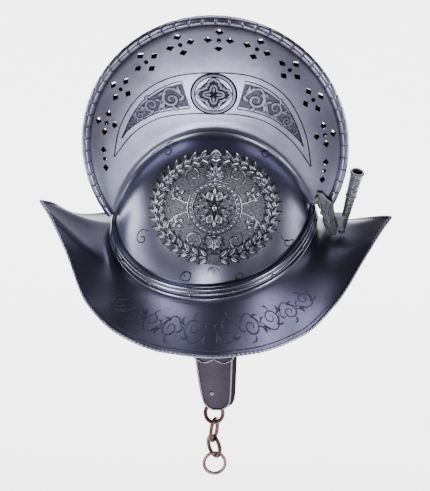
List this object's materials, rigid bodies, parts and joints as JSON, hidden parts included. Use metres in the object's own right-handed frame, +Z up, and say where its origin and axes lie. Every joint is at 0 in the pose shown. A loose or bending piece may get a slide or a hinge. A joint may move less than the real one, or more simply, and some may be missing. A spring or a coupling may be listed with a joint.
{
  "type": "comb morion helmet",
  "caption": "Open steel helmet with a tall pierced comb, a boat-shaped brim, relief side medallions, a riveted cordon, a plume tube, cheek pieces and a chain.",
  "frame": {"origin": "centre of the head opening, level with the skull's lower rim at the sides; it is where a head holds the helmet", "axes": "+Z up, -X towards the helmet's front, -Y towards the wearer's left"},
  "size_m": [0.3508, 0.2598, 0.4723],
  "materials": {
    "polished_steel": "burnished steel with a dark patina in the recesses",
    "blackened_steel": "darkened rivet heads",
    "cast_pewter": "matt cast grey metal",
    "black_leather": "smooth black leather with cut edges",
    "coppered_wire": "dark coppered wire"
  },
  "bodies": {
    "root": {"skull": "polished_steel", "comb_rope": "polished_steel", "brim": "polished_steel", "cordon_band": "polished_steel", "medallion_left": "polished_steel", "medallion_right": "polished_steel", "cheek_plate_left": "polished_steel", "cheek_plate_right": "polished_steel", "cheek_lame_left": "polished_steel", "cheek_lame_right": "polished_steel", "cheek_rivet_left": "blackened_steel", "cheek_rivet_right": "blackened_steel", "strap_rivet_left_front": "blackened_steel", "strap_rivet_left_rear": "blackened_steel", "strap_rivet_right_front": "blackened_steel", "strap_rivet_right_rear": "blackened_steel", "cordon_rivet_01": "blackened_steel", "cordon_rivet_02": "blackened_steel", "cordon_rivet_03": "blackened_steel", "cordon_rivet_04": "blackened_steel", "cordon_rivet_05": "blackened_steel", "cordon_rivet_06": "blackened_steel", "cordon_rivet_07": "blackened_steel", "cordon_rivet_08": "blackened_steel", "cordon_rivet_09": "blackened_steel", "cordon_rivet_10": "blackened_steel", "cordon_rivet_11": "blackened_steel", "cordon_rivet_12": "blackened_steel", "cordon_rivet_13": "blackened_steel", "cordon_rivet_14": "blackened_steel", "cordon_rivet_15": "blackened_steel", "cordon_rivet_16": "blackened_steel", "chain_link_1": "coppered_wire", "chain_link_2": "coppered_wire", "chain_link_3": "coppered_wire", "chain_ring": "coppered_wire", "clasp_hook": "coppered_wire", "plume_holder": "cast_pewter", "cheek_strap_left": "black_leather", "cheek_strap_right": "black_leather"}
  },
  "joints": []
}
